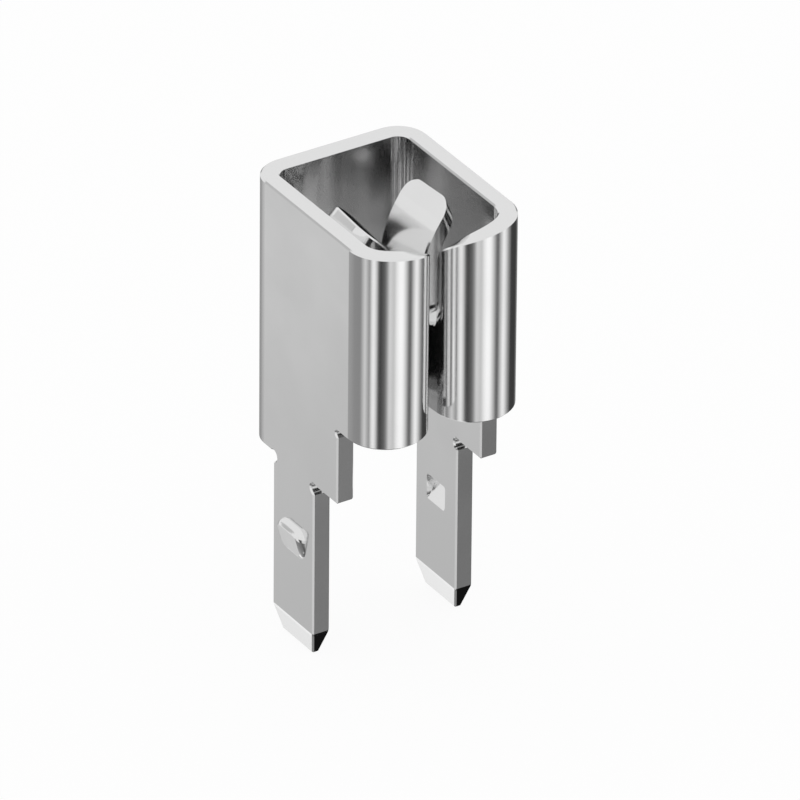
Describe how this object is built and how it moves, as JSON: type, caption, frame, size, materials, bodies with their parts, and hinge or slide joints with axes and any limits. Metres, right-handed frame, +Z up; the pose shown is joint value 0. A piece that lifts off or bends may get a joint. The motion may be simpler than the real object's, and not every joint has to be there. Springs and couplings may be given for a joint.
{
  "type": "pcb fuse clip",
  "caption": "Board-mount clip for a flat blade: a folded sheet-metal box with inward curls, spring fingers inside and solder legs with retention bumps.",
  "frame": {"origin": "middle of the back wall's lower edge, on the seating plane where that edge and the two shoulders rest on the board", "axes": "+Z up out of the board towards the open rim, +X from the back wall towards the slot between the two curls, Y from leg to leg"},
  "size_m": [0.007, 0.0062, 0.0152],
  "materials": {
    "tinned_sheet": "bright tin plating"
  },
  "bodies": {
    "root": {"fuse_clip": "tinned_sheet"}
  },
  "joints": []
}
